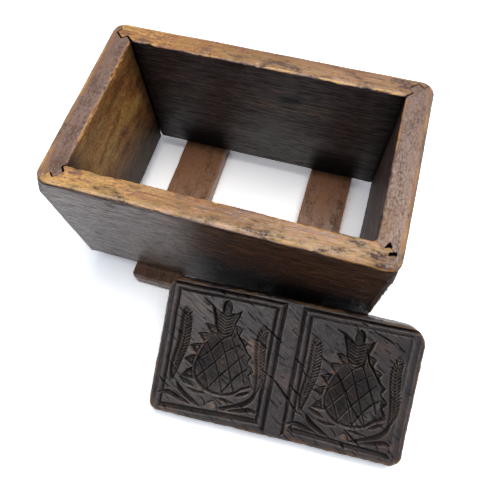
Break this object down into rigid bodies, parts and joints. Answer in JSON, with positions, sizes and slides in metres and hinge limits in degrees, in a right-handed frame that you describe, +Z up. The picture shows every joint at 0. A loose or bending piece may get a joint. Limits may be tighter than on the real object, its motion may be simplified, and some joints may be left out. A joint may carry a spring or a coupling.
{
  "type": "box butter mould",
  "caption": "Open wooden box with locked mitre corners on cross slats, and a loose carved print plate that slides inside it to shape, print and push out blocks of butter.",
  "frame": {"origin": "centre of the box on the floor, midway between its outer faces, in the gap between the slats", "axes": "+X along the box's length to the right, +Y from the front board to the back board, +Z up"},
  "size_m": [0.2245, 0.2116, 0.1015],
  "materials": {
    "board_wood": "old rubbed hardwood, brown, satin",
    "slat_wood": "old hardwood, reddish brown, dull",
    "nail_iron": "rusted iron",
    "plate_wood": "dark carved hardwood, dry, worn at the edges"
  },
  "bodies": {
    "box": {"front_board": "board_wood", "back_board": "board_wood", "left_end_board": "board_wood", "right_end_board": "board_wood", "left_slat": "slat_wood", "right_slat": "slat_wood", "slat_nails": "nail_iron"},
    "plate": {"print_plate": "plate_wood"}
  },
  "joints": [
    {"name": "plate_lift", "type": "slide", "parent": "box", "child": "plate", "axis": [0, 0, 1], "range_m": [0, 0.11]}
  ]
}
